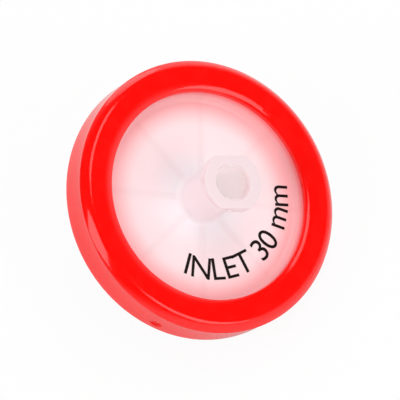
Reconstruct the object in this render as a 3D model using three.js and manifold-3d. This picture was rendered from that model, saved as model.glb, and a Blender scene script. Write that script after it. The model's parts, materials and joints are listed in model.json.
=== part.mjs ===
// Syringe filter with a moulded-over outer ring, in millimetres.
//
// Every piece is drawn about its flow axis: z = 0 is the inlet side of the membrane, the female luer
// lock inlet points along +z and the male luer outlet along -z. The whole filter is then laid down as
// it rests on a table, on the foot of its ring and the edge of its outlet tip.

import * as THREE from 'three';
import { mergeVertices } from 'three/addons/utils/BufferGeometryUtils.js';
import Module from 'manifold-3d';

const wasm = await Module();
wasm.setup();

// ---------------------------------------------------------------- driving dimensions

const FIT = 0.05; // clearance between two pieces that touch in the moulded filter
const WIDE_FACETS = 72; // facets of the ring, plates and membrane
const LUER_FACETS = 36; // facets of the hub, the outlet and their bores
const LUER_TAPER = 0.03; // loss of radius for each millimetre of luer length, the standard 6 % cone

// Membrane and the flow chamber around it
const MEMBRANE_RADIUS = 15;
const MEMBRANE_THICKNESS = 0.2;
const CLAMPED_EDGE = 1.4; // width of the membrane's edge that the plates hold
const CHAMBER_RADIUS = MEMBRANE_RADIUS - CLAMPED_EDGE;

// Plates of the two housings
const RIM_WALL = 1.15; // around the edge of the membrane
const PLATE_RADIUS = MEMBRANE_RADIUS + FIT + RIM_WALL;
const INLET_PLATE = 1.15;
const OUTLET_PLATE = 1.25;
const CHAMBER_DEPTH = 0.3;
const SPREADER_WIDTH = 0.8;
const SPREADER_SETBACK = 1.6; // from the edge of the inlet orifice

// Ribs on the outer faces of the plates
const RIB_COUNT = 6;
const RIB_WIDTH = 0.6;
const RIB_CLEARANCE = 0.7; // from the end of a rib to the window of the ring
const RIB_SLOPE = 0.5;
const RIB_EDGE = 0.08;
const INLET_RIB_RISE = 0.15;
const OUTLET_RIB_RISE = 0.6;

// Support grid under the membrane
const GROOVE_PITCH = 2.1;
const GROOVE_WIDTH = 1;
const GROOVE_DEPTH = 0.4;
const CHANNEL_WIDTH = 0.8;
const OUTLET_BORE = 1.05;
const SUMP_RADIUS = OUTLET_BORE + 0.55;
const GROOVE_COUNT = Math.floor((CHAMBER_RADIUS - SUMP_RADIUS) / GROOVE_PITCH);

// Female luer lock hub
const HUB_HEIGHT = 9; // above the inlet plate
const SOCKET_RADIUS = 2.15; // at the mouth
const SOCKET_WALL = 0.7; // at the mouth
const SOCKET_FLOOR = 1.6; // height of the socket's floor above the inlet plate
const BARREL_RADIUS = SOCKET_RADIUS + SOCKET_WALL;
const BARREL_FILLET = 0.8;
const SOCKET_CHAMFER = 0.25;
const INLET_ORIFICE = 1;

// Two lugs of the luer lock, a double D whose underside climbs with the lock's thread
const LUG_RADIUS = BARREL_RADIUS + 1.05;
const LUG_FLAT = LUG_RADIUS - 0.5; // from the axis to each flat
const LUG_THICKNESS = 1.25; // at the middle of a lug
const LUG_LEAD = 5; // climb of the lock's thread in one turn
const LUG_EDGE = 0.15;

// Male luer outlet
const OUTLET_LENGTH = 9.35; // below the outlet plate
const OUTLET_TIP_RADIUS = 1.975;
const OUTLET_TIP_ROUND = 0.25;
const COLLAR_HEIGHT = 1.3;
const COLLAR_STEP = 0.75; // from the root of the luer out to the collar
const COLLAR_FILLET = 0.5;
const OUTLET_ROOT_RADIUS = OUTLET_TIP_RADIUS + LUER_TAPER * (OUTLET_LENGTH - COLLAR_HEIGHT);
const COLLAR_RADIUS = OUTLET_ROOT_RADIUS + COLLAR_STEP;

// Outer ring
const RING_WALL = 1.25; // outside the plates, at the parting edge
const RING_RADIUS = PLATE_RADIUS + FIT + RING_WALL;
const RING_FOOT_RADIUS = RING_RADIUS - 0.15;
const RING_FOOT_ROUND = 0.9;
const RING_DRAFT = 0.9; // height over which the wall opens towards the parting edge
const RING_BEVEL = 1; // width of the bevel between the front face and the parting edge
const RING_BEVEL_DROP = 1.1;
const RING_BEVEL_CROWN = 0.1;
const RING_GRIP = 2.85; // reach of the ring over the rims of the plates
const WINDOW_RADIUS = PLATE_RADIUS - RING_GRIP;
const WINDOW_ROUND = 0.2; // edge of the window in the back face
const LIP_FALL = 1.4; // width over which the front face falls away to its window
const LIP_FALL_DEPTH = 0.5;
const FRONT_LIP = 2.55; // rise of the ring above the inlet plate
const BACK_LIP = 0.75; // rise of the ring below the outlet plate

// Wall that rises from the inlet plate inside the ring, in line with the ring's window
const UPSTAND_WALL = 0.5;
const UPSTAND_HEIGHT = 1.6; // above the inlet plate
const UPSTAND_FILLET = 1; // between the plate and the wall

// Turns about the flow axis, from the side the filter lies on
const LUG_TURN = THREE.MathUtils.degToRad(39.7);
const RIB_TURN = THREE.MathUtils.degToRad(34.2);

// Colours of the plastics
const NATURAL = 0xf3e9e8;
const WHITE = 0xfbfbfa;
const RED = 0xf40a06;

// ---------------------------------------------------------------- heights along the flow axis

const INLET_SEAT = FIT;
const INLET_FACE = INLET_SEAT + INLET_PLATE;
const OUTLET_SEAT = -MEMBRANE_THICKNESS - FIT;
const OUTLET_FACE = OUTLET_SEAT - OUTLET_PLATE;
const MOUTH = INLET_FACE + HUB_HEIGHT;
const UPSTAND_TOP = INLET_FACE + UPSTAND_HEIGHT;
const TIP = OUTLET_FACE - OUTLET_LENGTH;
const RING_FRONT = INLET_FACE + FRONT_LIP;
const RING_BACK = OUTLET_FACE - BACK_LIP;
const OVERLAP = 0.3; // how far two joined solids of one moulding run into each other

// ---------------------------------------------------------------- helpers

const point = (r, z) => new THREE.Vector2(r, z);

/** Points of an arc in the profile plane, angles in degrees from the +r direction. */
function arc(r, z, radius, from, to, steps = 5) {
  const points = [];
  for (let i = 0; i <= steps; i += 1) {
    const angle = THREE.MathUtils.degToRad(from + ((to - from) * i) / steps);
    points.push(point(r + radius * Math.cos(angle), z + radius * Math.sin(angle)));
  }
  return points;
}

/** Manifold solid of a closed three.js geometry. */
function solid(geometry) {
  const bare = new THREE.BufferGeometry();
  bare.setAttribute('position', geometry.getAttribute('position'));
  bare.setIndex(geometry.index);
  const merged = mergeVertices(bare, 1e-5);
  const corners = merged.index.array;
  const kept = [];
  for (let i = 0; i < corners.length; i += 3) {
    const [a, b, c] = corners.slice(i, i + 3);
    if (a !== b && b !== c && c !== a) kept.push(a, b, c);
  }
  return new wasm.Manifold(new wasm.Mesh({
    numProp: 3,
    vertProperties: merged.getAttribute('position').array,
    triVerts: new Uint32Array(kept),
  }));
}

/** Solid of revolution about z, with the middle of a facet on the side that the filter lies on. */
function revolve(profile, facets) {
  const start = Math.PI / 2 + Math.PI / facets;
  const geometry = new THREE.LatheGeometry(profile, facets, start);
  geometry.rotateX(Math.PI / 2);
  return solid(geometry);
}

/** Plain disc between two heights, as a profile. */
const disc = (radius, low, high) => [point(0, low), point(radius, low), point(radius, high), point(0, high)];

/** Block that stands from radius `from` to radius `to`, `width` wide, between two heights. */
function spoke(from, to, width, low, high, turn) {
  const block = new THREE.BoxGeometry(to - from, width, high - low);
  block.translate((from + to) / 2, 0, (low + high) / 2);
  block.rotateZ(turn);
  return solid(block);
}

/** One call of `make` for each rib direction, turned by `offset` rib spacings. */
function around(make, offset = 0) {
  const spacing = (2 * Math.PI) / RIB_COUNT;
  return Array.from({ length: RIB_COUNT }, (_, i) => make(RIB_TURN + (i + offset) * spacing));
}

const join = (parts) => parts.reduce((whole, part) => whole.add(part));

/** Radial rib that rises from `face` towards `side` (+1 or -1), with a sloped end and broken edges. */
function rib(face, side, rise, from, turn) {
  const root = face - side * OVERLAP;
  const top = face + side * rise;
  const end = WINDOW_RADIUS - RIB_CLEARANCE;
  const outline = new THREE.Shape([
    point(from, root),
    point(end, root),
    point(end, face),
    point(end - RIB_SLOPE, top),
    point(from, top),
  ]);
  const geometry = new THREE.ExtrudeGeometry(outline, {
    depth: RIB_WIDTH - 2 * RIB_EDGE,
    bevelSize: RIB_EDGE,
    bevelOffset: -RIB_EDGE,
    bevelThickness: RIB_EDGE,
    bevelSegments: 1,
  });
  geometry.translate(0, 0, RIB_EDGE - RIB_WIDTH / 2);
  geometry.rotateX(Math.PI / 2);
  geometry.rotateZ(turn);
  return solid(geometry);
}

/** Named mesh of a finished solid. */
function piece(name, body, material) {
  const { numProp, vertProperties, triVerts } = body.getMesh();
  const geometry = new THREE.BufferGeometry();
  geometry.setAttribute('position', new THREE.BufferAttribute(vertProperties, numProp));
  geometry.setIndex(new THREE.BufferAttribute(triVerts, 1));
  geometry.computeVertexNormals();
  const mesh = new THREE.Mesh(geometry, material);
  mesh.name = name;
  return mesh;
}

// ---------------------------------------------------------------- inlet housing

/** Round plate with its upstand, the flow chamber in its underside and spreader ribs in the chamber. */
function inletPlate() {
  const roof = INLET_SEAT + CHAMBER_DEPTH;
  const start = INLET_ORIFICE + SPREADER_SETBACK;
  const fillet = arc(WINDOW_RADIUS - UPSTAND_FILLET, INLET_FACE + UPSTAND_FILLET, UPSTAND_FILLET, 360, 270);
  const plate = revolve([
    point(0, roof),
    point(CHAMBER_RADIUS, roof),
    point(CHAMBER_RADIUS, INLET_SEAT),
    point(PLATE_RADIUS, INLET_SEAT),
    point(PLATE_RADIUS, INLET_FACE),
    point(WINDOW_RADIUS + UPSTAND_WALL, INLET_FACE),
    point(WINDOW_RADIUS + UPSTAND_WALL, UPSTAND_TOP),
    point(WINDOW_RADIUS, UPSTAND_TOP),
    ...fillet,
    point(0, INLET_FACE),
  ], WIDE_FACETS);
  const spreaders = around(
    (turn) => spoke(start, CHAMBER_RADIUS + OVERLAP, SPREADER_WIDTH, INLET_SEAT, roof + OVERLAP, turn),
    0.5,
  );
  return join([plate, ...spreaders]);
}

/** Outside of the luer barrel, with its fillet onto the plate. */
function barrel() {
  const corner = BARREL_RADIUS + BARREL_FILLET;
  return revolve([
    point(0, INLET_FACE - OVERLAP),
    point(corner, INLET_FACE - OVERLAP),
    ...arc(corner, INLET_FACE + BARREL_FILLET, BARREL_FILLET, 270, 180),
    point(BARREL_RADIUS, MOUTH),
    point(0, MOUTH),
  ], LUER_FACETS);
}

/** Double D at the mouth whose underside climbs with the thread, one half turn for each lug. */
function lugs() {
  const climb = Math.atan(LUG_LEAD / (2 * Math.PI * LUG_RADIUS));
  const reach = 2 * LUG_RADIUS;
  const lowest = MOUTH - LUG_THICKNESS - LUG_RADIUS * Math.tan(climb);
  const blank = revolve([
    point(0, lowest),
    point(LUG_RADIUS, lowest),
    point(LUG_RADIUS, MOUTH - LUG_EDGE),
    point(LUG_RADIUS - LUG_EDGE, MOUTH),
    point(0, MOUTH),
  ], LUER_FACETS);
  const flats = new THREE.BoxGeometry(2 * reach, 2 * LUG_FLAT, 2 * reach);
  flats.translate(0, 0, MOUTH);
  flats.rotateZ(LUG_TURN);
  const under = [0, Math.PI].map((half) => {
    const wedge = new THREE.BoxGeometry(reach, 2 * reach, reach);
    wedge.translate(reach / 2, 0, -reach / 2);
    wedge.rotateX(climb);
    wedge.translate(0, 0, MOUTH - LUG_THICKNESS);
    wedge.rotateZ(LUG_TURN + half);
    return solid(wedge);
  });
  return blank.intersect(solid(flats)).subtract(join(under));
}

/** Everything cut out of the hub: the tapered luer socket with its chamfer, and the orifice below it. */
function socket() {
  const floor = INLET_FACE + SOCKET_FLOOR;
  return revolve([
    point(0, INLET_SEAT - OVERLAP),
    point(INLET_ORIFICE, INLET_SEAT - OVERLAP),
    point(INLET_ORIFICE, floor),
    point(SOCKET_RADIUS - LUER_TAPER * (MOUTH - floor), floor),
    point(SOCKET_RADIUS - LUER_TAPER * SOCKET_CHAMFER, MOUTH - SOCKET_CHAMFER),
    point(SOCKET_RADIUS + SOCKET_CHAMFER, MOUTH + SOCKET_CHAMFER),
    point(0, MOUTH + SOCKET_CHAMFER),
  ], LUER_FACETS);
}

function inletHousing() {
  const ribs = around((turn) => rib(INLET_FACE, 1, INLET_RIB_RISE, BARREL_RADIUS - OVERLAP, turn));
  return join([inletPlate(), barrel(), lugs(), ...ribs]).subtract(socket());
}

// ---------------------------------------------------------------- outlet housing

/** Round plate with a wall around the membrane's edge. */
function outletPlate() {
  const wall = MEMBRANE_RADIUS + FIT;
  return revolve([
    point(0, OUTLET_FACE),
    point(PLATE_RADIUS, OUTLET_FACE),
    point(PLATE_RADIUS, INLET_SEAT - FIT),
    point(wall, INLET_SEAT - FIT),
    point(wall, OUTLET_SEAT),
    point(0, OUTLET_SEAT),
  ], WIDE_FACETS);
}

/** Ring grooves, radial channels and the sump that drain the membrane, as one solid to cut away. */
function drain() {
  const floor = OUTLET_SEAT - GROOVE_DEPTH;
  const above = OUTLET_SEAT + OVERLAP;
  const grooves = Array.from({ length: GROOVE_COUNT }, (_, i) => {
    const inner = SUMP_RADIUS + GROOVE_PITCH * (i + 1) - GROOVE_WIDTH;
    const outer = inner + GROOVE_WIDTH;
    return revolve([
      point(inner, floor),
      point(outer, floor),
      point(outer, above),
      point(inner, above),
      point(inner, floor),
    ], LUER_FACETS);
  });
  const end = SUMP_RADIUS + GROOVE_PITCH * GROOVE_COUNT;
  const channels = around((turn) => spoke(0, end, CHANNEL_WIDTH, floor, above, turn));
  return join([revolve(disc(SUMP_RADIUS, floor, above), LUER_FACETS), ...grooves, ...channels]);
}

/** Outline of the luer tip from its flat end up, where it touches what the filter lies on. */
const tipOutline = () => [
  point(0, TIP),
  ...arc(OUTLET_TIP_RADIUS - OUTLET_TIP_ROUND, TIP + OUTLET_TIP_ROUND, OUTLET_TIP_ROUND, 270, 360, 3),
];

/** Collar and tapered male luer, solid. */
function spigot() {
  const collar = OUTLET_FACE - COLLAR_HEIGHT;
  const fillet = collar - COLLAR_FILLET;
  return revolve([
    ...tipOutline(),
    point(OUTLET_ROOT_RADIUS - LUER_TAPER * COLLAR_FILLET, fillet),
    ...arc(OUTLET_ROOT_RADIUS + COLLAR_FILLET, fillet, COLLAR_FILLET, 180, 90, 4).slice(1),
    point(COLLAR_RADIUS, collar),
    point(COLLAR_RADIUS, OUTLET_FACE + OVERLAP),
    point(0, OUTLET_FACE + OVERLAP),
  ], LUER_FACETS);
}

function outletHousing() {
  const ribs = around((turn) => rib(OUTLET_FACE, -1, OUTLET_RIB_RISE, COLLAR_RADIUS - OVERLAP, turn));
  const bore = revolve(disc(OUTLET_BORE, TIP - OVERLAP, OUTLET_SEAT + OVERLAP), LUER_FACETS);
  return join([outletPlate(), spigot(), ...ribs]).subtract(drain()).subtract(bore);
}

// ---------------------------------------------------------------- membrane and ring

const membrane = () => revolve(disc(MEMBRANE_RADIUS, -MEMBRANE_THICKNESS, 0), WIDE_FACETS);

/** Outside of the ring from its back face round the foot, up the wall and over the bevel. */
function ringOutline() {
  const foot = RING_BACK + RING_FOOT_ROUND;
  const parting = RING_FRONT - RING_BEVEL_DROP;
  const wall = new THREE.QuadraticBezierCurve(
    point(RING_FOOT_RADIUS, foot),
    point(RING_FOOT_RADIUS, parting - RING_DRAFT),
    point(RING_RADIUS, parting),
  );
  const crown = RING_BEVEL_CROWN;
  const bevel = new THREE.QuadraticBezierCurve(
    point(RING_RADIUS, parting),
    point(RING_RADIUS - RING_BEVEL / 2 + crown, RING_FRONT - RING_BEVEL_DROP / 2 + crown),
    point(RING_RADIUS - RING_BEVEL, RING_FRONT),
  );
  return [
    ...arc(RING_FOOT_RADIUS - RING_FOOT_ROUND, foot, RING_FOOT_ROUND, 270, 360, 6),
    ...wall.getPoints(5).slice(1, -1),
    ...bevel.getPoints(5),
  ];
}

/** C section that grips the rims of both plates and closes over the inlet plate's upstand. */
function outerRing() {
  const inner = WINDOW_RADIUS + WINDOW_ROUND;
  const lip = new THREE.EllipseCurve(
    WINDOW_RADIUS + LIP_FALL,
    RING_FRONT - LIP_FALL_DEPTH,
    LIP_FALL,
    LIP_FALL_DEPTH,
    Math.PI / 2,
    Math.PI,
  );
  const pocket = WINDOW_RADIUS + UPSTAND_WALL + FIT;
  return revolve([
    ...ringOutline(),
    ...lip.getPoints(6),
    point(WINDOW_RADIUS, UPSTAND_TOP + FIT),
    point(pocket, UPSTAND_TOP + FIT),
    point(pocket, INLET_FACE + FIT),
    point(PLATE_RADIUS + FIT, INLET_FACE + FIT),
    point(PLATE_RADIUS + FIT, OUTLET_FACE - FIT),
    point(WINDOW_RADIUS, OUTLET_FACE - FIT),
    ...arc(inner, RING_BACK + WINDOW_ROUND, WINDOW_ROUND, 180, 270, 3),
    ringOutline()[0],
  ], WIDE_FACETS);
}

// ---------------------------------------------------------------- lying pose

/** Lean of the flow axis when the ring's foot and the outlet's tip touch one plane. */
function restLean() {
  const across = (facets) => Math.cos(Math.PI / facets);
  const lean = (foot, tip) => Math.atan2(
    foot.y - tip.y,
    foot.x * across(WIDE_FACETS) - tip.x * across(LUER_FACETS),
  );
  return Math.min(...ringOutline().map((foot) => Math.max(...tipOutline().map((tip) => lean(foot, tip)))));
}

// ---------------------------------------------------------------- assembly

const plastic = (color, roughness) => new THREE.MeshStandardMaterial({ color, roughness, metalness: 0 });

const filter = new THREE.Group();
filter.name = 'syringe_filter';
filter.add(
  piece('inlet_housing', inletHousing(), plastic(NATURAL, 0.3)),
  piece('membrane', membrane(), plastic(WHITE, 0.9)),
  piece('outlet_housing', outletHousing(), plastic(NATURAL, 0.3)),
  piece('outer_ring', outerRing(), plastic(RED, 0.15)),
);
filter.rotation.y = restLean();

// The origin is the middle of the filter's footprint, on the surface that it lies on.
const extent = new THREE.Box3().setFromObject(filter, true);
const middle = extent.getCenter(new THREE.Vector3());
filter.position.set(-middle.x, -middle.y, -extent.min.z);

const part = new THREE.Group();
part.add(filter);

export default part;
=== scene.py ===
"""Looks of a syringe filter: red ring, natural plastic housings, membrane, print and studio."""

import json
import math

import bmesh
import bpy
from bpy.props import (
    FloatProperty,
    FloatVectorProperty,
    IntProperty,
    PointerProperty,
    StringProperty,
)
from mathutils import Matrix, Vector

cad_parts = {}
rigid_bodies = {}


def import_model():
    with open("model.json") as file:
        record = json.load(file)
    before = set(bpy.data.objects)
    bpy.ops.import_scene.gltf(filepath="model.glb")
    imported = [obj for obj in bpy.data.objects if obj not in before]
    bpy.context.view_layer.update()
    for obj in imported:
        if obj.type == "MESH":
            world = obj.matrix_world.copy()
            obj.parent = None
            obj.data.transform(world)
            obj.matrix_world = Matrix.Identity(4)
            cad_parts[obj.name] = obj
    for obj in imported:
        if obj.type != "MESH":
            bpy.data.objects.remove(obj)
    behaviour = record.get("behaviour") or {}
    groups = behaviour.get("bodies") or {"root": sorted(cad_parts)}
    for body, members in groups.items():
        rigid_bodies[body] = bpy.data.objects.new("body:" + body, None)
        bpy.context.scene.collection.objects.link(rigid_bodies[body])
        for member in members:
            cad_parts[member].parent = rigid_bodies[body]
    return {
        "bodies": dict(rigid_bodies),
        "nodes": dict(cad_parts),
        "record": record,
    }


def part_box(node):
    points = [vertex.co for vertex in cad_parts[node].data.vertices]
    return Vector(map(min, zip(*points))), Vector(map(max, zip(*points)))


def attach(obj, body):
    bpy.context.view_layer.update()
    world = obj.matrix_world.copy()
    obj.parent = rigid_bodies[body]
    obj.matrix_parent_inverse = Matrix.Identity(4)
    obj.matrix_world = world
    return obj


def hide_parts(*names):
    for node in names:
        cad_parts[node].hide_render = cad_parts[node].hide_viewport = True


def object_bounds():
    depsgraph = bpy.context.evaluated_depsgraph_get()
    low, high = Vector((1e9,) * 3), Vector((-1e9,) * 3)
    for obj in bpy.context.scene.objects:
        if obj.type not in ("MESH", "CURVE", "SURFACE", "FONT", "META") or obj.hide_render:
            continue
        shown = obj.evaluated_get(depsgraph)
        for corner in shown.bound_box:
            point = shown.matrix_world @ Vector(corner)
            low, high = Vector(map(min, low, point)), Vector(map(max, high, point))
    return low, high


bl_info = {
    "name": "Syringe filter",
    "version": (1, 0, 0),
    "blender": (4, 5, 0),
    "location": "View3D > Sidebar > Filter",
    "description": "Builds the finished pieces of a syringe filter on its packed frame",
    "category": "Object",
}

MM = 0.001
LUER_TAPER = 0.03  # loss of radius for each unit of luer length
CRISP_ANGLE = math.radians(35)  # edges sharper than this stay crisp
MERGE_DISTANCE = 1e-7  # points nearer than this are one point
LUG_JUMP = 1e-3  # turn to either side of the jump from one lug's thread to the other's
WHITE = (1, 1, 1, 1)
FLOOR_GREY = (0.8, 0.8, 0.8, 1)  # the floor's own colour, which lights the filter from below
ROOM_GREY = (0.75, 0.75, 0.75, 1)  # the room's light on rough surfaces

# ---------------------------------------------------------------- the packed frame

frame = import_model()
CAD_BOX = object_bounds()
BODY = next(iter(frame["bodies"]))
MOUNTS = {mount["name"]: mount for mount in frame["record"]["mounts"]}


def middle_of(node):
    """Centre of a CAD node's box."""
    low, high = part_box(node)
    return (low + high) / 2


def reach_of(node):
    """Reach of a CAD node along the cross axis, from the flow axis."""
    low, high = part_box(node)
    return (high.y - low.y) / 2


# The filter's own axes: the flow axis points out of the inlet, and the first cross axis points to
# the side that the filter lies on. Heights are measured from the middle of the membrane.
CENTRE = middle_of("membrane")
FLOW = Vector(MOUNTS["ring_front"]["axis"]).normalized()
CROSS = Vector((0, 1, 0))
LYING = CROSS.cross(FLOW)
TURNED = Matrix((LYING, CROSS, FLOW)).transposed()
PLACED = Matrix.Translation(CENTRE) @ TURNED.to_4x4()


def height_of(mount):
    """Height of a mount's face along the flow axis."""
    return (Vector(MOUNTS[mount]["pos_m"]) - CENTRE).dot(FLOW)


FRONT = height_of("ring_front")
BACK = height_of("ring_back")
MOUTH = height_of("inlet_rim")
TIP = height_of("outlet_tip")
RING_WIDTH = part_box("outer_ring")[1].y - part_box("outer_ring")[0].y


def length(name, description, default):
    """Property for a length in metres."""
    return FloatProperty(
        name=name, description=description, default=default, unit="LENGTH", precision=5
    )


def colour(name, description, default):
    """Property for a linear colour."""
    return FloatVectorProperty(
        name=name, description=description, default=default, subtype="COLOR", min=0, max=1, size=3
    )


# ---------------------------------------------------------------- settings


class RingSettings(bpy.types.PropertyGroup):
    """Sizes and colour of the outer ring."""

    radius: length("Radius", "Widest radius, at the parting edge", RING_WIDTH / 2)
    foot_draw: length("Foot draw", "How much narrower the ring is at its foot", 0.15 * MM)
    draft: length("Draft", "Height over which the wall opens towards the parting edge", 0.9 * MM)
    foot_round: length("Foot rounding", "Radius of the outer back edge", 0.9 * MM)
    bevel: length("Bevel", "Width of the bevel between front face and parting edge", 1.0 * MM)
    bevel_drop: length("Bevel drop", "Height of the bevel", 1.1 * MM)
    bevel_crown: length("Bevel crown", "How far the bevel is drawn out", 0.1 * MM)
    window: length("Window", "Radius of the opening on both sides", 13.35 * MM)
    window_round: length("Window rounding", "Radius of the back opening's edge", 0.2 * MM)
    lip_fall: length("Lip fall", "Width over which the front face falls to its opening", 1.4 * MM)
    lip_depth: length("Lip depth", "How far the front face falls away at its opening", 0.5 * MM)
    front_lip: length("Front lip", "Rise of the ring above the inlet plate", 2.55 * MM)
    back_lip: length("Back lip", "Rise of the ring below the outlet plate", 0.75 * MM)
    upstand_wall: length("Upstand wall", "Thickness of the inlet plate's upstand", 0.5 * MM)
    upstand_height: length("Upstand height", "Rise of the upstand above the inlet plate", 1.6 * MM)
    upstand_fillet: length("Upstand fillet", "Rounding between plate and upstand", 1 * MM)
    seat: length("Seat", "Radius of the groove that holds the plates", 16.25 * MM)
    clearance: length("Clearance", "Gap between pieces that touch", 0.05 * MM)
    edge: length("Edge", "Rounding of the parting edge", 0.1 * MM)
    crease: length("Crease", "Rounding between the front face and the bevel", 0.38 * MM)
    gate_width: length("Gate width", "Width of the scar where the plastic was fed in", 1.75 * MM)
    gate_height: length("Gate height", "Height of the scar", 1.35 * MM)
    gate_turn: FloatProperty(
        name="Gate turn", description="Where the scar is, from the side the filter lies on",
        default=math.radians(283.5), unit="ROTATION",
    )
    steps: IntProperty(name="Steps", description="Steps around the ring", default=240, min=24)
    colour: colour("Colour", "Colour of the ring's plastic", (0.96, 0.0025, 0.001))


class HousingSettings(bpy.types.PropertyGroup):
    """Sizes and colour of the two housings."""

    plate_radius: length("Plate radius", "Radius of both plates", 16.2 * MM)
    inlet_plate: length("Inlet plate", "Thickness of the inlet plate", 1.15 * MM)
    outlet_plate: length("Outlet plate", "Thickness of the outlet plate", 1.25 * MM)
    chamber_radius: length("Chamber radius", "Radius of the flow chamber", 13.6 * MM)
    chamber_depth: length("Chamber depth", "Depth of the flow chamber", 0.3 * MM)
    barrel_radius: length("Barrel radius", "Outside of the inlet barrel", 2.85 * MM)
    barrel_fillet: length("Barrel fillet", "Rounding between barrel and plate", 0.8 * MM)
    socket_radius: length("Socket radius", "Radius of the luer socket at its mouth", 2.15 * MM)
    socket_floor: length("Socket floor", "Height of the socket's floor above the plate", 1.6 * MM)
    socket_chamfer: length("Socket chamfer", "Chamfer at the socket's mouth", 0.25 * MM)
    orifice: length("Orifice", "Radius of the hole below the socket", 1.0 * MM)
    lug_radius: length("Lug radius", "Radius of the rounds of the double D", 3.9 * MM)
    lug_flat: length("Lug flat", "From the axis to each flat of the double D", 3.4 * MM)
    lug_thickness: length("Lug thickness", "Thickness at the middle of a lug", 1.25 * MM)
    lug_lead: length("Lug lead", "Climb of the lug's underside in one turn", 5 * MM)
    edge: length("Edge", "Rounding of the moulded edges", 0.15 * MM)
    tip_radius: length("Tip radius", "Radius of the outlet's tip", 1.967 * MM)
    tip_round: length("Tip rounding", "Rounding of the outlet's tip", 0.25 * MM)
    outlet_bore: length("Outlet bore", "Radius of the outlet's bore", 1.05 * MM)
    collar_radius: length("Collar radius", "Radius of the collar at the outlet's root", 2.98 * MM)
    collar_height: length("Collar height", "Height of the collar", 1.3 * MM)
    collar_fillet: length("Collar fillet", "Rounding between luer and collar", 0.5 * MM)
    turn: FloatProperty(
        name="Turn", description="Turn of the lugs from the side the filter lies on",
        default=math.radians(39.7), unit="ROTATION",
    )
    steps: IntProperty(name="Steps", description="Steps around each housing", default=240, min=24)
    # The colour holds the plastic's own tone with painted red light from the ring in it; the middle
    # colour is its tone far from the ring.
    colour: colour("Colour", "Colour of the natural plastic", (0.95, 0.765, 0.785))
    middle: colour("Middle colour", "Its colour far from the red ring", (0.915, 0.85, 0.885))
    # Painted shade: the lug colour darkens the top of the hub, and the lugs' top face most.
    lugs: colour("Lug colour", "Its colour where it is thick, at the lugs", (0.83, 0.67, 0.695))
    # Painted red light from the ring: this colour is the red ring's light bounced onto the plate
    # near it and shining through the upstand wall.
    painted_ring_light: colour("Backed colour", "Its colour with the red ring behind it", (0.96, 0.07, 0.08))


class RibSettings(bpy.types.PropertyGroup):
    """Sizes of the radial ribs."""

    count: IntProperty(name="Count", description="Ribs on each plate", default=8, min=1)
    width: length("Width", "Width of a rib", 0.8 * MM)
    end: length("End", "Radius at which the ribs end", 12.65 * MM)
    slope: length("Slope", "Length of the sloped end", 0.5 * MM)
    inlet_rise: length("Inlet rise", "Height of the inlet ribs", 0.02 * MM)
    outlet_rise: length("Outlet rise", "Height of the outlet ribs", 0.6 * MM)
    root: length("Root", "How far a rib runs into its plate", 0.2 * MM)
    turn: FloatProperty(
        name="Turn", description="Turn of the ribs from the side the filter lies on",
        default=math.radians(33.8), unit="ROTATION",
    )


class PrintSettings(bpy.types.PropertyGroup):
    """The printed words beside the inlet."""

    words: StringProperty(name="Words", description="What is printed", default="INLET 30 mm")
    letter_size: length("Letter size", "Size of the letters", 4.05 * MM)
    gap: FloatProperty(name="Gap", description="Spacing of the letters", default=1.02)
    arc_radius: length("Arc radius", "Radius of the line of print", 11.3 * MM)
    offset: length("Offset", "From the flow axis to the centre of the arc", 1.3 * MM)
    offset_side: FloatProperty(
        name="Offset side", description="Side to which the arc's centre is offset",
        default=math.radians(90.7), unit="ROTATION",
    )
    start: FloatProperty(
        name="Start", description="Where the first letter stands on the arc",
        default=math.radians(285), unit="ROTATION",
    )
    ink: length("Ink", "Thickness of the ink", 0.03 * MM)
    colour: colour("Colour", "Colour of the ink", (0.008, 0.003, 0.002))


class StageSettings(bpy.types.PropertyGroup):
    """Camera and floor."""

    azimuth: FloatProperty(
        name="Azimuth", description="Side that the camera looks from",
        default=math.radians(29.06), unit="ROTATION",
    )
    elevation: FloatProperty(
        name="Elevation", description="Height of the camera as an angle",
        default=math.radians(58.72), unit="ROTATION",
    )
    distance: length("Distance", "From the camera to the filter", 1.5)
    view_width: length("View width", "Width of what the camera sees at the filter", 49.72 * MM)
    aim_left: length("Aim left", "How far left of the front's centre the camera aims", 1.304 * MM)
    aim_down: length("Aim down", "How far below the front's centre the camera aims", 0.678 * MM)
    floor_radius: length("Floor radius", "Radius of the floor", 1.2)
    floor_white: FloatProperty(
        name="Floor white", description="Share of plain white in the floor as the camera sees it",
        default=0.93, min=0, max=1,
    )
    floor_mirrored: FloatProperty(
        name="Floor mirrored", description="Share of plain white in the floor as gloss mirrors it",
        default=0.1, min=0, max=1,
    )


# ---------------------------------------------------------------- nodes


class Wire:
    """Output socket of a node; arithmetic on it adds Math nodes to its tree."""

    def __init__(self, sheet, socket):
        self.sheet = sheet
        self.socket = socket

    def math(self, operation, *values):
        """Result of a Math node."""
        return self.sheet.add("ShaderNodeMath", {"operation": operation}, dict(enumerate(values)))

    def __add__(self, other):
        return self.math("ADD", self, other)

    def __radd__(self, other):
        return self.math("ADD", other, self)

    def __sub__(self, other):
        return self.math("SUBTRACT", self, other)

    def __rsub__(self, other):
        return self.math("SUBTRACT", other, self)

    def __mul__(self, other):
        return self.math("MULTIPLY", self, other)

    def __rmul__(self, other):
        return self.math("MULTIPLY", other, self)

    def __truediv__(self, other):
        return self.math("DIVIDE", self, other)

    def __abs__(self):
        return self.math("ABSOLUTE", self)

    def root(self):
        """Square root."""
        return self.math("SQRT", self)

    def sine(self):
        """Sine of an angle in radians."""
        return self.math("SINE", self)

    def cosine(self):
        """Cosine of an angle in radians."""
        return self.math("COSINE", self)


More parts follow.
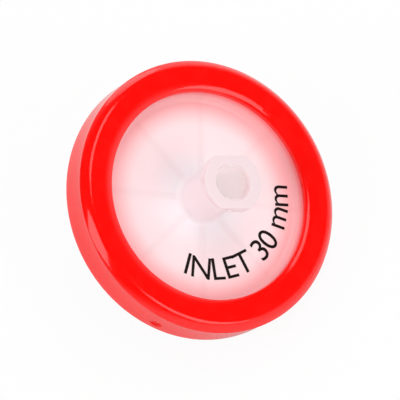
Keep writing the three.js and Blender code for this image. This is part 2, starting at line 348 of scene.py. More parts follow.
class Sheet:
    """Node tree with a method that adds a node and shorter ones for common nodes."""

    def __init__(self, tree):
        self.tree = tree

    def add(self, kind, settings=None, inputs=None, output=0):
        """Node of a type with its settings, set first, and the values or links of its sockets."""
        node = self.tree.nodes.new(kind)
        for name, value in (settings or {}).items():
            setattr(node, name, value)
        for key, value in (inputs or {}).items():
            socket = self.socket(node.inputs, key)
            if isinstance(value, Wire):
                self.tree.links.new(value.socket, socket)
            else:
                socket.default_value = value
        return Wire(self, self.socket(node.outputs, output)) if node.outputs else node

    @staticmethod
    def socket(sockets, key):
        """Socket by its number, identifier or name."""
        if isinstance(key, int):
            return sockets[key]
        return next((s for s in sockets if s.identifier == key and s.enabled), None) or sockets[key]

    def mix(self, share, first, second):
        """Colour between two colours."""
        return self.add(
            "ShaderNodeMix", {"data_type": "RGBA"},
            {"Factor_Float": share, "A_Color": first, "B_Color": second}, "Result_Color",
        )

    def noise(self, place, feature, detail=2.0, roughness=0.5):
        """Noise from 0 to 1 whose features are `feature` metres wide."""
        inputs = {
            "Vector": place, "Scale": 1 / feature, "Detail": detail, "Roughness": roughness,
        }
        return self.add("ShaderNodeTexNoise", {"noise_dimensions": "3D"}, inputs, "Fac")

    def spread(self, value, low, high, to_low, to_high):
        """Value carried from one range to another, held at both ends and eased between them."""
        inputs = {
            "Value": value, "From Min": low, "From Max": high, "To Min": to_low, "To Max": to_high,
        }
        settings = {"interpolation_type": "SMOOTHSTEP"}
        return self.add("ShaderNodeMapRange", settings, inputs, "Result")

    def own_place(self):
        """Object coordinates turned into the filter's own axes, from the middle of the membrane."""
        place = self.add("ShaderNodeTexCoord", output="Object")
        turned = TURNED.to_euler()
        return self.add(
            "ShaderNodeMapping", {"vector_type": "TEXTURE"},
            {"Vector": place, "Location": CENTRE, "Rotation": turned},
        )

    def parts(self, place):
        """The three coordinates of a place."""
        split = self.add("ShaderNodeSeparateXYZ", inputs={"Vector": place})
        return tuple(Wire(self, s) for s in split.socket.node.outputs)

    def bump(self, height, depth, normal=None):
        """Normal of a surface raised by `height` times `depth` metres."""
        inputs = {"Height": height, "Distance": depth}
        if normal is not None:
            inputs["Normal"] = normal
        return self.add("ShaderNodeBump", inputs=inputs)


def new_material(name):
    """Material with an empty tree, as a sheet and the material itself."""
    material = bpy.data.materials.new(name)
    material.use_nodes = True
    material.node_tree.nodes.clear()
    return material, Sheet(material.node_tree)


def tinted(rgb, share):
    """Colour with each channel at a share of its value."""
    return tuple(share * channel for channel in rgb)


def plastic(sheet, *surfaces, share=None):
    """Ends a material's tree with one plastic surface, or a share of a second over the first."""
    shaders = [sheet.add("ShaderNodeBsdfPrincipled", inputs=sockets) for sockets in surfaces]
    if share is not None:
        mixed = {0: share, 1: shaders[0], 2: shaders[1]}
        shaders.append(sheet.add("ShaderNodeMixShader", inputs=mixed))
    sheet.add("ShaderNodeOutputMaterial", inputs={"Surface": shaders[-1]})


# ---------------------------------------------------------------- materials


def red_plastic(settings):
    """Glossy red plastic with a faint ripple, a parting line and the scar of the gate."""
    material, sheet = new_material("red_plastic")
    place = sheet.own_place()
    height = sheet.parts(place)[2]
    cloud = sheet.noise(place, 5 * MM, 3)
    ripple = sheet.noise(place, 1.4 * MM, 2)
    grain = sheet.noise(place, 0.12 * MM, 2)
    parting = FRONT - settings.bevel_drop
    line = sheet.spread(abs(height - parting), 0.03 * MM, 0.1 * MM, 1.0, 0.0)
    scar = gate_scar(sheet, place, settings)
    base = sheet.mix(cloud, (*tinted(settings.colour, 0.93), 1), (*settings.colour, 1))
    base = sheet.mix(line * 0.3 + scar * 0.2, base, (*tinted(settings.colour, 0.6), 1))
    skin = sheet.bump(ripple, 0.01 * MM)
    skin = sheet.bump(grain, 0.0002 * MM, skin)
    skin = sheet.bump(1 - scar, 0.05 * MM, skin)
    gloss = sheet.spread(ripple, 0.3, 0.7, 0.08, 0.13)
    moulded = {"Base Color": base, "Roughness": gloss, "IOR": 1.5, "Normal": skin}
    torn = {**moulded, "Roughness": 0.8, "Specular IOR Level": 0.0}
    plastic(sheet, moulded, torn, share=scar * 0.8)
    return material


def gate_scar(sheet, place, settings):
    """Share of the gate's scar at a place: a torn oval in the wall of the ring."""
    turn = settings.gate_turn
    middle = Vector((math.cos(turn), math.sin(turn), 0)) * settings.radius
    local = sheet.add(
        "ShaderNodeMapping", {"vector_type": "TEXTURE"},
        {
            "Vector": place, "Location": middle, "Rotation": (0, 0, turn),
            "Scale": (2 * MM, settings.gate_width / 2, settings.gate_height / 2),
        },
    )
    away = sheet.add("ShaderNodeVectorMath", {"operation": "LENGTH"}, {0: local}, "Value")
    torn = sheet.noise(place, 0.35 * MM, 3)
    return sheet.spread(away + torn * 0.9, 1.2, 1.6, 1.0, 0.0)


def rib_share(sheet, across, along, reach, ribs):
    """Share of a rib at a place, from the turn round the flow axis."""
    turn = along.math("ARCTAN2", along, across) - ribs.turn
    away = turn.math("PINGPONG", turn, math.pi / ribs.count)
    return sheet.spread(reach * away.sine(), 0.1 * MM, ribs.width, 1.0, 0.0)


def milky_plastic(ring, settings, ribs):
    """Milky, slightly see-through plastic, with light and shade painted into its colour: red light
    from the ring as pink near it, shade over the ribs and the lugs, and light in the socket's bore.
    """
    material, sheet = new_material("milky_plastic")
    place = sheet.own_place()
    across, along, height = sheet.parts(place)
    reach = (across * across + along * along).root()
    top = FRONT - ring.front_lip
    cloud = sheet.noise(place, 6 * MM, 3)
    fine = sheet.noise(place, 0.9 * MM, 2)
    grain = sheet.noise(place, 0.1 * MM, 2)
    cloudy = sheet.spread(cloud, 0.3, 0.7, 0.0, 1.0)
    base = sheet.mix(cloudy, (*tinted(settings.colour, 0.97), 1), (*settings.colour, 1))
    # Painted red light from the ring: the plastic is whiter in the middle and pinker outwards.
    base = sheet.mix(sheet.spread(reach, 3 * MM, 8 * MM, 1.0, 0.0), base, (*settings.middle, 1))
    # Painted shade: the top of the hub, and most of all the top face of the lugs, is darkened
    # towards the lug colour.
    lugs = sheet.spread(height, MOUTH - 3.2 * MM, MOUTH - 2.2 * MM, 0.0, 0.3)
    lugs = lugs + sheet.spread(height, MOUTH - 0.3 * MM, MOUTH - 0.05 * MM, 0.0, 0.7)
    base = sheet.mix(lugs, base, (*settings.lugs, 1))
    barrel = settings.barrel_radius
    # Painted shade: darker bands over the ribs, away from the barrel, stand in for the shade of the
    # ribs seen through the plate.
    painted_rib_shade = rib_share(sheet, across, along, reach, ribs) * sheet.spread(height, 0.0, top, 0.0, 1.0)
    painted_rib_shade = painted_rib_shade * sheet.spread(reach, barrel, barrel + 1 * MM, 0.0, 1.0)
    base = sheet.mix(painted_rib_shade * 0.3, base, (*tinted(settings.colour, 0.86), 1))
    # Painted red light from the ring: the plate turns pink towards the ring, and the upstand wall
    # turns pinker, as if red light were bounced onto them and shone through them.
    foot = sheet.spread(reach, 9.2 * MM, ring.window - 0.4 * MM, 0.0, 0.46)
    wall = sheet.spread(height, top + 0.3 * MM, top + ring.upstand_height, 0.0, 0.36)
    rim = sheet.spread(reach, 12.4 * MM, ring.window - 0.2 * MM, 0.0, 1.0)
    base = sheet.mix(foot + wall * rim, base, (*settings.painted_ring_light, 1))
    skin = sheet.bump(fine, 0.002 * MM)
    skin = sheet.bump(grain, 0.0003 * MM, skin)
    gloss = sheet.spread(fine, 0.3, 0.7, 0.29, 0.38)
    shell = {"Base Color": base, "Roughness": gloss, "IOR": 1.49, "Normal": skin}
    socket = settings.socket_radius
    # Painted light: the socket's bore is painted near white, standing in for light that comes
    # through the hub's thin walls; the wide subsurface scattering adds some of it as real light.
    bore = sheet.spread(reach, socket + 0.05 * MM, socket + 0.3 * MM, 1.0, 0.0)
    luer = {
        **shell,
        "Base Color": sheet.mix(bore, base, (1.0, 0.985, 0.99, 1)),
        "Subsurface Weight": 1.0,
        "Subsurface Radius": (1.0, 0.95, 0.95),
        "Subsurface Scale": 100 * MM,
        "Specular IOR Level": 0.2,
    }
    bore = bore * sheet.spread(height, top, top + settings.socket_floor, 0.0, 1.0)
    plastic(sheet, shell, luer, share=bore)
    return material


def membrane_film():
    """White porous film."""
    material, sheet = new_material("membrane_film")
    place = sheet.own_place()
    fibre = sheet.noise(place, 0.08 * MM, 4, 0.7)
    base = sheet.mix(fibre, (0.86, 0.86, 0.85, 1), (0.93, 0.93, 0.92, 1))
    skin = sheet.bump(fibre, 0.01 * MM)
    plastic(sheet, {"Base Color": base, "Roughness": 0.85, "IOR": 1.38, "Normal": skin})
    return material


def ink(settings):
    """Pad-printed black ink, a little thinner in places."""
    material, sheet = new_material("print_ink")
    place = sheet.own_place()
    thin = sheet.noise(place, 0.25 * MM, 3)
    pale = tuple(channel + 0.008 for channel in settings.colour)
    base = sheet.mix(sheet.spread(thin, 0.45, 0.75, 0.0, 1.0), (*settings.colour, 1), (*pale, 1))
    gloss = sheet.spread(thin, 0.3, 0.7, 0.4, 0.55)
    plastic(sheet, {"Base Color": base, "Roughness": gloss, "IOR": 1.25})
    return material


# ---------------------------------------------------------------- shapes


def arc(radius, height, rounding, start, end, steps=8, depth=None):
    """Points of a round or oval arc in a profile, angles in degrees from outwards."""
    depth = rounding if depth is None else depth
    points = []
    for i in range(steps + 1):
        angle = math.radians(start + (end - start) * i / steps)
        points.append((radius + rounding * math.cos(angle), height + depth * math.sin(angle)))
    return points


def settle(mesh, name, material):
    """Object in the filter's place, with smooth faces and crisp edges."""
    mesh.transform(PLACED)
    mesh.materials.clear()
    mesh.materials.append(material)
    mesh.shade_smooth()
    mesh.set_sharp_from_angle(angle=CRISP_ANGLE)
    piece = bpy.data.objects.new(name, mesh)
    bpy.context.scene.collection.objects.link(piece)
    return piece


def turned_mesh(name, section, angles):
    """Closed ring of faces through one closed profile for each angle."""
    shape = bmesh.new()
    loops = []
    for angle in angles:
        across, along = math.cos(angle), math.sin(angle)
        loops.append([shape.verts.new((r * across, r * along, z)) for r, z in section(angle)])
    for here, there in zip(loops, loops[1:] + loops[:1]):
        for i in range(len(here)):
            j = (i + 1) % len(here)
            shape.faces.new((here[i], there[i], there[j], here[j]))
    bmesh.ops.recalc_face_normals(shape, faces=shape.faces)
    mesh = bpy.data.meshes.new(name)
    shape.to_mesh(mesh)
    shape.free()
    return mesh


def even_angles(steps):
    """Angles of even steps around a circle."""
    return [2 * math.pi * i / steps for i in range(steps)]


def nodes_result(name, mesh, tree, inputs):
    """Mesh that a geometry node tree makes from a mesh, with its inputs set by socket."""
    holder = bpy.data.objects.new(name, mesh)
    bpy.context.scene.collection.objects.link(holder)
    modifier = holder.modifiers.new(name, "NODES")
    modifier.node_group = tree
    entries = [item for item in tree.interface.items_tree if item.item_type == "SOCKET"]
    sockets = {item.name: item.identifier for item in entries}
    for key, value in inputs.items():
        modifier[sockets[key]] = value
    bpy.context.view_layer.update()
    depsgraph = bpy.context.evaluated_depsgraph_get()
    result = bpy.data.meshes.new_from_object(holder.evaluated_get(depsgraph))
    holder.modifiers.remove(modifier)
    bpy.data.objects.remove(holder)
    return result


def new_tree(name, inputs):
    """Geometry node tree with a geometry in and out and named inputs, and its input wires."""
    tree = bpy.data.node_groups.new(name, "GeometryNodeTree")
    tree.interface.new_socket("Geometry", in_out="OUTPUT", socket_type="NodeSocketGeometry")
    tree.interface.new_socket("Geometry", in_out="INPUT", socket_type="NodeSocketGeometry")
    for label, kind in inputs.items():
        tree.interface.new_socket(label, in_out="INPUT", socket_type=kind)
    sheet = Sheet(tree)
    start = sheet.add("NodeGroupInput").socket.node
    wires = {s.name: Wire(sheet, s) for s in start.outputs if s.name}
    return tree, sheet, wires


def close_tree(sheet, geometry, material):
    """Ends a geometry node tree with real geometry and its material."""
    real = sheet.add("GeometryNodeRealizeInstances", inputs={"Geometry": geometry})
    painted = sheet.add("GeometryNodeSetMaterial", inputs={"Geometry": real, "Material": material})
    sheet.add("NodeGroupOutput", inputs={"Geometry": painted})


def revolve_tree():
    """Tree that sweeps a closed profile in a circle.

    The profile's X is the distance from the circle and its Y points down the axis.
    """
    tree, sheet, wires = new_tree(
        "revolve_profile",
        {
            "Path Radius": "NodeSocketFloat", "Steps": "NodeSocketInt",
            "Material": "NodeSocketMaterial",
        },
    )
    outline = sheet.add("GeometryNodeMeshToCurve", inputs={"Mesh": wires["Geometry"]})
    path = sheet.add(
        "GeometryNodeCurvePrimitiveCircle", {"mode": "RADIUS"},
        {"Resolution": wires["Steps"], "Radius": wires["Path Radius"]},
    )
    swept = sheet.add("GeometryNodeCurveToMesh", inputs={"Curve": path, "Profile Curve": outline})
    close_tree(sheet, swept, wires["Material"])
    return tree


def ribbed_tree():
    """Tree that joins a rib, repeated evenly around the flow axis, to a moulding."""
    tree, sheet, wires = new_tree(
        "ribbed_moulding",
        {
            "Rib": "NodeSocketObject", "Count": "NodeSocketInt", "Turn": "NodeSocketFloat",
            "Material": "NodeSocketMaterial",
        },
    )
    points = sheet.add("GeometryNodePoints", inputs={"Count": wires["Count"]})
    index = sheet.add("GeometryNodeInputIndex")
    angle = index / wires["Count"] * (2 * math.pi) + wires["Turn"]
    rotation = sheet.add("ShaderNodeCombineXYZ", inputs={"Z": angle})
    rib = sheet.add("GeometryNodeObjectInfo", inputs={"Object": wires["Rib"]}, output="Geometry")
    copies = sheet.add(
        "GeometryNodeInstanceOnPoints",
        inputs={"Points": points, "Instance": rib, "Rotation": rotation},
    )
    ribs = sheet.add("GeometryNodeRealizeInstances", inputs={"Geometry": copies})
    joined = sheet.add("GeometryNodeMeshBoolean", {"operation": "UNION", "solver": "EXACT"})
    meshes = joined.socket.node.inputs["Mesh 2"]
    tree.links.new(ribs.socket, meshes)
    tree.links.new(wires["Geometry"].socket, meshes)
    close_tree(sheet, joined, wires["Material"])
    return tree


def arc_print_tree():
    """Tree that stands the letters of a string on an arc and gives them thickness."""
    tree, sheet, wires = new_tree(
        "arc_print",
        {
            "Words": "NodeSocketString", "Size": "NodeSocketFloat", "Gap": "NodeSocketFloat",
            "Arc Radius": "NodeSocketFloat", "Start": "NodeSocketFloat",
            "Thickness": "NodeSocketFloat", "Material": "NodeSocketMaterial",
        },
    )
    letters = sheet.add(
        "GeometryNodeStringToCurves", {"align_x": "LEFT", "pivot_mode": "BOTTOM_CENTER"},
        {"String": wires["Words"], "Size": wires["Size"], "Character Spacing": wires["Gap"]},
    )
    pivot = Wire(sheet, letters.socket.node.outputs["Pivot Point"])
    half = sheet.parts(pivot)[0]
    along = sheet.parts(sheet.add("GeometryNodeInputPosition"))[0]
    radius = wires["Arc Radius"]
    angle = wires["Start"] + (along + half) / radius
    spot = sheet.add(
        "ShaderNodeCombineXYZ",
        inputs={
            "X": radius * angle.cosine() + half * angle.sine(),
            "Y": radius * angle.sine() - half * angle.cosine(),
        },
    )
    turn = sheet.add("ShaderNodeCombineXYZ", inputs={"Z": angle + math.pi / 2})
    kept = sheet.add(
        "GeometryNodeStoreNamedAttribute", {"data_type": "FLOAT_VECTOR", "domain": "INSTANCE"},
        {"Geometry": letters, "Name": "turn", "Value": turn},
    )
    moved = sheet.add("GeometryNodeSetPosition", inputs={"Geometry": kept, "Position": spot})
    stored = sheet.add(
        "GeometryNodeInputNamedAttribute", {"data_type": "FLOAT_VECTOR"}, {"Name": "turn"}
    )
    turned = sheet.add(
        "GeometryNodeRotateInstances", inputs={"Instances": moved, "Rotation": stored}
    )
    filled = sheet.add("GeometryNodeFillCurve", {"mode": "TRIANGLES"}, {"Curve": turned})
    real = sheet.add("GeometryNodeRealizeInstances", inputs={"Geometry": filled})
    raised = sheet.add(
        "GeometryNodeExtrudeMesh", {"mode": "FACES"},
        {"Mesh": real, "Offset Scale": wires["Thickness"], "Individual": False},
    )
    back = sheet.add("GeometryNodeFlipFaces", inputs={"Mesh": real})
    both = sheet.add("GeometryNodeJoinGeometry", inputs={"Geometry": raised})
    tree.links.new(back.socket, both.socket.node.inputs["Geometry"])
    close_tree(sheet, both, wires["Material"])
    return tree


# ---------------------------------------------------------------- profiles


def bend(start, corner, end, steps):
    """Points of a smooth bend from one place to another that leans towards a corner."""
    points = []
    for i in range(steps + 1):
        t = i / steps
        first, middle, last = (1 - t) ** 2, 2 * t * (1 - t), t**2
        axes = zip(start, corner, end)
        points.append(tuple(first * a + middle * c + last * b for a, c, b in axes))
    return points


def rounded(before, corner, after, cut, steps=6):
    """Rounding of a corner that begins and ends `cut` from it."""
    ends = []
    for other in (before, after):
        share = cut / math.dist(corner, other)
        ends.append([c + (o - c) * share for c, o in zip(corner, other)])
    return bend(ends[0], corner, ends[1], steps)


def ring_profile(ring):
    """Closed C section of the ring as pairs of radius and height."""
    foot_radius = ring.radius - ring.foot_draw
    foot = BACK + ring.foot_round
    parting = FRONT - ring.bevel_drop
    crown = ring.bevel_crown
    corner = (foot_radius, parting - ring.draft)
    wall = bend((foot_radius, foot), corner, (ring.radius, parting), 10)
    bevel = bend(
        (ring.radius, parting),
        (ring.radius - ring.bevel / 2 + crown, FRONT - ring.bevel_drop / 2 + crown),
        (ring.radius - ring.bevel, FRONT), 5,
    )
    lip = ring.window + ring.lip_fall
    plate_top = FRONT - ring.front_lip + ring.clearance
    plate_bottom = BACK + ring.back_lip - ring.clearance
    pocket = ring.window + ring.upstand_wall + ring.clearance
    ledge = FRONT - ring.front_lip + ring.upstand_height + ring.clearance
    inner = ring.window + ring.window_round
    return [
        *arc(foot_radius - ring.foot_round, foot, ring.foot_round, 270, 360, 12),
        *wall[1:-1],
        *rounded(wall[-2], bevel[0], bevel[1], ring.edge),
        *bevel[1:-1],
        *rounded(bevel[-2], bevel[-1], (lip, FRONT), ring.crease),
        *arc(lip, FRONT - ring.lip_depth, ring.lip_fall, 90, 180, 16, ring.lip_depth),
        (ring.window, ledge),
        (pocket, ledge),
        (pocket, plate_top),
        (ring.seat, plate_top),
        (ring.seat, plate_bottom),
        (ring.window, plate_bottom),
        *arc(inner, BACK + ring.window_round, ring.window_round, 180, 270),
    ]


def inlet_profile(ring, housing):
    """Profile of the inlet housing at an angle: plate, upstand, barrel, lugs and socket."""
    top = FRONT - ring.front_lip
    seat = top - housing.inlet_plate
    roof = seat + housing.chamber_depth
    corner = housing.barrel_radius + housing.barrel_fillet
    floor = top + housing.socket_floor
    climb = housing.lug_lead / (2 * math.pi * housing.lug_radius)
    upstand = top + ring.upstand_height
    outside = ring.window + ring.upstand_wall
    fillet = ring.upstand_fillet
    plate = [
        (housing.orifice, roof),
        (housing.chamber_radius, roof),
        (housing.chamber_radius, seat),
        (housing.plate_radius, seat),
        (housing.plate_radius, top),
        (outside, top),
        (outside, upstand),
        (ring.window, upstand),
        *arc(ring.window - fillet, top + fillet, fillet, 360, 270, 12),
        *arc(corner, top + housing.barrel_fillet, housing.barrel_fillet, 270, 180),
    ]

    def section(angle):
        turn = angle - housing.turn
        lug = housing.lug_radius
        if abs(math.sin(turn)) * lug > housing.lug_flat:
            lug = housing.lug_flat / abs(math.sin(turn))
        side = math.copysign(1, math.cos(turn))
        under = MOUTH - housing.lug_thickness + side * climb * lug * math.sin(turn)
        barrel = housing.barrel_radius
        edge = housing.edge
        return [
            *plate,
            (barrel, under - edge),
            *arc(barrel + edge, under - edge, edge, 180, 90, 4)[1:],
            *arc(lug - edge, under + edge, edge, 270, 360, 4),
            *arc(lug - edge, MOUTH - edge, edge, 0, 90, 4),
            (housing.socket_radius + housing.socket_chamfer, MOUTH),
            (housing.socket_radius, MOUTH - housing.socket_chamfer),
            (housing.socket_radius - LUER_TAPER * (MOUTH - floor), floor),
            (housing.orifice, floor),
        ]

    return section


def outlet_profile(ring, housing):
    """Profile of the outlet housing: plate, collar and tapered luer."""
    bottom = BACK + ring.back_lip
    seat = bottom + housing.outlet_plate
    rim = FRONT - ring.front_lip - housing.inlet_plate - ring.clearance
    collar = bottom - housing.collar_height
    root = housing.tip_radius + LUER_TAPER * (collar - TIP)
    wall = reach_of("membrane") + ring.clearance
    tip = housing.tip_round
    fillet = housing.collar_fillet
    bore = housing.outlet_bore
    bore_edge = 0.1 * MM
    points = [
        (bore, seat),
        (wall, seat),
        (wall, rim),
        (housing.plate_radius, rim),
        (housing.plate_radius, bottom),
        (housing.collar_radius, bottom),
        (housing.collar_radius, collar + housing.edge),
        (housing.collar_radius - housing.edge, collar),
        *reversed(arc(root + fillet, collar - fillet, fillet, 180, 90)),
        *reversed(arc(housing.tip_radius - tip, TIP + tip, tip, 270, 360, 6)),
        (bore + bore_edge, TIP),
        (bore, TIP + bore_edge),
    ]
    return lambda angle: points


def rib_mesh(ribs, face, side, rise, start):
    """One rib along +X, with a crowned top, its sides drawn in and a sloped end."""
    half = ribs.width / 2
    steps = 6
    dip = 0.04  # keeps its edges below the face of the plate, as a share of its rise
    swing = 0.5 + dip / 2
    shares = [i / steps for i in range(-steps, steps + 1)]
    across = [(half * i, swing * math.cos(math.pi * i) + 1 - swing) for i in shares]
    slope = [(ribs.end - ribs.slope * i, 0.5 - 0.5 * math.cos(math.pi * i)) for i in shares[steps:]]
    stations = [*slope, (start, 1.0)]
    shape = bmesh.new()
    rows = []
    for reach, share in stations:
        top = [(y, face + side * rise * (share * z - dip)) for y, z in across]
        root = face - side * ribs.root
        section = [(-half, root), *top, (half, root)]
        rows.append([shape.verts.new((reach, y, z)) for y, z in section])
    for here, there in zip(rows, rows[1:]):
        for i in range(len(here)):
            j = (i + 1) % len(here)
            shape.faces.new((here[i], here[j], there[j], there[i]))
    shape.faces.new(rows[0])
    shape.faces.new(rows[-1])
    bmesh.ops.recalc_face_normals(shape, faces=shape.faces)
    mesh = bpy.data.meshes.new("rib")
    shape.to_mesh(mesh)
    shape.free()
    return mesh


# ---------------------------------------------------------------- operators


class FILTER_OT_outer_ring(bpy.types.Operator):
    """Build the glossy red ring that grips both plates"""

    bl_idname = "filter.outer_ring"
    bl_label = "Outer ring"

    def execute(self, context):
        ring = context.scene.filter_ring
        path = (ring.window + ring.radius) / 2
        points = ring_profile(ring)
        outline = bpy.data.meshes.new("ring_outline")
        edges = [(i, (i + 1) % len(points)) for i in range(len(points))]
        outline.from_pydata([(r - path, -z, 0) for r, z in points], edges, [])
        material = red_plastic(ring)
        swept = nodes_result(
            "ring_sweep", outline, revolve_tree(),
            {"Path Radius": path, "Steps": ring.steps, "Material": material},
        )
        piece = settle(outwards(swept), "ring_moulding", material)
        finish_piece(piece, "ring_red", "outer_ring")
        return {"FINISHED"}


class FILTER_OT_inlet_housing(bpy.types.Operator):
    """Build the inlet plate with its luer lock hub and ribs"""

    bl_idname = "filter.inlet_housing"
    bl_label = "Inlet housing"

    def execute(self, context):
        ring = context.scene.filter_ring
        housing = context.scene.filter_housing
        ribs = context.scene.filter_ribs
        material = milky_plastic(ring, housing, ribs)
        gaps = (housing.turn + math.pi / 2, housing.turn - math.pi / 2)
        ends = [gap + jump for gap in gaps for jump in (-LUG_JUMP, LUG_JUMP)]
        angles = sorted({angle % (2 * math.pi) for angle in even_angles(housing.steps) + ends})
        mesh = turned_mesh("inlet_moulding", inlet_profile(ring, housing), angles)
        top = FRONT - ring.front_lip
        rib = rib_mesh(ribs, top, 1, ribs.inlet_rise, housing.barrel_radius - ribs.root)
        mesh = ribbed("inlet_moulding", mesh, rib, ribs, material)
        piece = settle(mesh, "inlet_moulding", material)
        finish_piece(piece, "natural_plastic", "inlet_housing")
        return {"FINISHED"}


class FILTER_OT_outlet_housing(bpy.types.Operator):
    """Build the outlet plate with its luer tip and ribs"""

    bl_idname = "filter.outlet_housing"
    bl_label = "Outlet housing"

    def execute(self, context):
        ring = context.scene.filter_ring
        housing = context.scene.filter_housing
        ribs = context.scene.filter_ribs
        material = bpy.data.materials["milky_plastic"]
        angles = even_angles(housing.steps)
        mesh = turned_mesh("outlet_moulding", outlet_profile(ring, housing), angles)
        bottom = BACK + ring.back_lip
        rib = rib_mesh(ribs, bottom, -1, ribs.outlet_rise, housing.collar_radius - ribs.root)
        mesh = ribbed("outlet_moulding", mesh, rib, ribs, material)
        piece = settle(mesh, "outlet_moulding", material)
        finish_piece(piece, "natural_plastic", "outlet_housing")
        return {"FINISHED"}


class FILTER_OT_membrane(bpy.types.Operator):
    """Finish the membrane between the plates"""

    bl_idname = "filter.membrane"
    bl_label = "Membrane"

    def execute(self, context):
        mesh = frame["nodes"]["membrane"].data
        mesh.materials.clear()
        mesh.materials.append(membrane_film())
        return {"FINISHED"}


class FILTER_OT_print(bpy.types.Operator):
    """Print the words beside the inlet"""

    bl_idname = "filter.print"
    bl_label = "Print"

    def execute(self, context):
        words = context.scene.filter_print
        ring = context.scene.filter_ring
        blank = bpy.data.meshes.new("print_blank")
        material = ink(words)
        mesh = nodes_result(
            "print_letters", blank, arc_print_tree(),
            {
                "Words": words.words, "Size": words.letter_size, "Gap": words.gap,
                "Arc Radius": words.arc_radius, "Start": words.start, "Thickness": words.ink,
                "Material": material,
            },
        )
        side = words.offset_side
        across, along = words.offset * math.cos(side), words.offset * math.sin(side)
        clear = 0.2 * words.ink  # keeps the ink's back off the plate
        lift = FRONT - ring.front_lip + clear
        mesh.transform(Matrix.Translation((across, along, lift)))
        piece = settle(mesh, "inlet_print", material)
        finish_piece(piece, "natural_plastic")
        return {"FINISHED"}


class FILTER_OT_stage(bpy.types.Operator):
    """Set the camera, the floor and the studio lamps"""

    bl_idname = "filter.stage"
    bl_label = "Stage"

    def execute(self, context):
        stage = context.scene.filter_stage
        add_camera(context, stage)
        add_floor(context, stage)
        add_world(context)
        add_lamps(context)
        context.scene.view_settings.view_transform = "Standard"
        return {"FINISHED"}


# ---------------------------------------------------------------- helpers of the operators


def outwards(mesh):
    """Mesh with its doubles merged and its faces turned out."""
    shape = bmesh.new()
    shape.from_mesh(mesh)
    bmesh.ops.remove_doubles(shape, verts=shape.verts, dist=MERGE_DISTANCE)
    bmesh.ops.recalc_face_normals(shape, faces=shape.faces)
    shape.to_mesh(mesh)
    shape.free()
    return mesh


def finish_piece(piece, slot, *nodes):
    """Rides a piece on the body and hides the CAD nodes that it stands for; the slot is not used.
    """
    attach(piece, BODY)
    if nodes:
        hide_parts(*nodes)


def ribbed(name, moulding, rib, ribs, material):
    """Moulding with its ribs, as one mesh."""
    pattern = bpy.data.objects.new("rib", rib)
    bpy.context.scene.collection.objects.link(pattern)
    mesh = nodes_result(
        name, moulding, ribbed_tree(),
        {"Rib": pattern, "Count": ribs.count, "Turn": ribs.turn, "Material": material},
    )
    bpy.data.objects.remove(pattern)
    return mesh


def direction(azimuth, elevation):
    """Unit vector towards an azimuth, which is 0 at the front and counts to the right."""
    low = math.cos(elevation)
    return Vector((math.sin(azimuth) * low, -math.cos(azimuth) * low, math.sin(elevation)))


def view_axes(stage):
    """Directions to the camera, to its right and up, as unit vectors."""
    back = direction(stage.azimuth, stage.elevation)
    right = Vector((math.cos(stage.azimuth), math.sin(stage.azimuth), 0))
    return back, right, back.cross(right)


def add_camera(context, stage):
    """Level camera that looks down on the filter."""
    back, right, up = view_axes(stage)
    aim = CENTRE + FLOW * FRONT - right * stage.aim_left - up * stage.aim_down
    data = bpy.data.cameras.new("camera")
    data.sensor_width = 36
    data.lens = data.sensor_width * stage.distance / stage.view_width
    data.clip_start = 0.01
    data.clip_end = 20
    camera = bpy.data.objects.new("camera", data)
    turned = Matrix((right, up, back)).transposed().to_4x4()
    camera.matrix_world = Matrix.Translation(aim + back * stage.distance) @ turned
    context.scene.collection.objects.link(camera)
    context.scene.camera = camera


def add_floor(context, stage):
    """Plain white floor that keeps a light shadow of the filter."""
    shape = bmesh.new()
    bmesh.ops.create_circle(shape, cap_ends=True, segments=96, radius=stage.floor_radius)
    mesh = bpy.data.meshes.new("floor")
    shape.to_mesh(mesh)
    shape.free()
    mesh.transform(Matrix.Translation((0, 0, CAD_BOX[0].z)))
    material, sheet = new_material("floor_white")
    path = sheet.add("ShaderNodeLightPath").socket.node
    seen = sum_of(sheet, path, ("Is Camera Ray", "Is Transmission Ray"))
    glossy = sum_of(sheet, path, ("Is Glossy Ray",))
    share = seen * stage.floor_white + glossy * stage.floor_mirrored
    diffuse = sheet.add("ShaderNodeBsdfDiffuse", inputs={"Color": FLOOR_GREY})
    white = sheet.add("ShaderNodeEmission", inputs={"Color": WHITE, "Strength": 1})
    surface = sheet.add("ShaderNodeMixShader", inputs={0: share, 1: diffuse, 2: white})
    sheet.add("ShaderNodeOutputMaterial", inputs={"Surface": surface})
    mesh.materials.append(material)
    floor = bpy.data.objects.new("floor", mesh)
    context.scene.collection.objects.link(floor)


def sum_of(sheet, path, names):
    """Sum of the named outputs of a light path."""
    total = Wire(sheet, path.outputs[names[0]])
    for name in names[1:]:
        total = total + Wire(sheet, path.outputs[name])
    return total


def add_world(context):
    """Soft room, white to the camera, and pale low down and dark above where gloss mirrors it."""
    world = bpy.data.worlds.new("room")
    world.use_nodes = True
    world.node_tree.nodes.clear()
    sheet = Sheet(world.node_tree)
    path = sheet.add("ShaderNodeLightPath").socket.node
    seen = sum_of(sheet, path, ("Is Camera Ray", "Is Transmission Ray"))
    glossy = sum_of(sheet, path, ("Is Glossy Ray",))
    along, up = sheet.parts(sheet.add("ShaderNodeTexCoord", output="Generated"))[1:]
    edge = up - sheet.spread(along, -0.8, 0.2, 0.0, 0.3)
    pale = sheet.spread(edge, -0.15, 0.35, 0.95, 0.03)
    grey = {"Red": pale, "Green": pale, "Blue": pale}
    mirrored = sheet.add("ShaderNodeCombineColor", inputs=grey)
    room = sheet.mix(glossy, ROOM_GREY, mirrored)
    room = sheet.mix(seen, room, WHITE)
    light = sheet.add("ShaderNodeBackground", inputs={"Color": room, "Strength": 1})
    sheet.add("ShaderNodeOutputWorld", inputs={"Surface": light})
    context.scene.world = world


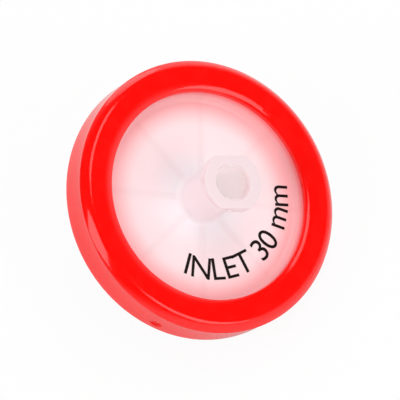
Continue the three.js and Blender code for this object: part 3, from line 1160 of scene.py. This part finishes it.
LAMPS = {
    "key": {"azimuth": -21, "elevation": 34, "wide": 0.5, "high": 0.5, "radiance": 3.0},
    "top": {"azimuth": 180, "elevation": 76, "wide": 0.5, "high": 0.55, "radiance": 2.4},
    "back": {"azimuth": -138, "elevation": 16, "wide": 0.5, "high": 0.45, "radiance": 1.2},
    "right": {"azimuth": 84, "elevation": 34, "wide": 0.5, "high": 0.5, "radiance": 2.5},
}


def add_lamps(context):
    """Large soft lamps a metre away."""
    for name, lamp in LAMPS.items():
        data = bpy.data.lights.new(name, "AREA")
        data.shape = "RECTANGLE"
        data.size = lamp["wide"]
        data.size_y = lamp["high"]
        data.energy = lamp["radiance"] * math.pi * lamp["wide"] * lamp["high"]
        spot = bpy.data.objects.new(name, data)
        place = direction(math.radians(lamp["azimuth"]), math.radians(lamp["elevation"]))
        facing = place.to_track_quat("Z", "Y").to_matrix().to_4x4()
        spot.matrix_world = Matrix.Translation(place) @ facing
        context.scene.collection.objects.link(spot)


# ---------------------------------------------------------------- panel and registration

OPERATORS = (
    FILTER_OT_stage,
    FILTER_OT_outer_ring,
    FILTER_OT_inlet_housing,
    FILTER_OT_outlet_housing,
    FILTER_OT_membrane,
    FILTER_OT_print,
)

SETTINGS = {
    "filter_ring": RingSettings,
    "filter_housing": HousingSettings,
    "filter_ribs": RibSettings,
    "filter_print": PrintSettings,
    "filter_stage": StageSettings,
}


class FILTER_PT_pieces(bpy.types.Panel):
    """Lists the pieces of the filter"""

    bl_label = "Syringe filter"
    bl_idname = "FILTER_PT_pieces"
    bl_space_type = "VIEW_3D"
    bl_region_type = "UI"
    bl_category = "Filter"

    def draw(self, context):
        for operator in OPERATORS:
            self.layout.operator(operator.bl_idname)
        for name, settings in SETTINGS.items():
            box = self.layout.box()
            box.label(text=settings.__doc__)
            group = getattr(context.scene, name)
            for prop in settings.__annotations__:
                box.prop(group, prop)


def register():
    """Registers the settings, the operators and the panel."""
    for name, settings in SETTINGS.items():
        bpy.utils.register_class(settings)
        setattr(bpy.types.Scene, name, PointerProperty(type=settings))
    for operator in OPERATORS:
        bpy.utils.register_class(operator)
    bpy.utils.register_class(FILTER_PT_pieces)


def unregister():
    """Removes the panel, the operators and the settings."""
    bpy.utils.unregister_class(FILTER_PT_pieces)
    for operator in reversed(OPERATORS):
        bpy.utils.unregister_class(operator)
    for name, settings in reversed(SETTINGS.items()):
        delattr(bpy.types.Scene, name)
        bpy.utils.unregister_class(settings)


def main():
    """Registers the add-on and builds every piece."""
    register()
    for operator in OPERATORS:
        group, name = operator.bl_idname.split(".")
        getattr(getattr(bpy.ops, group), name)()


if __name__ == "__main__":
    main()
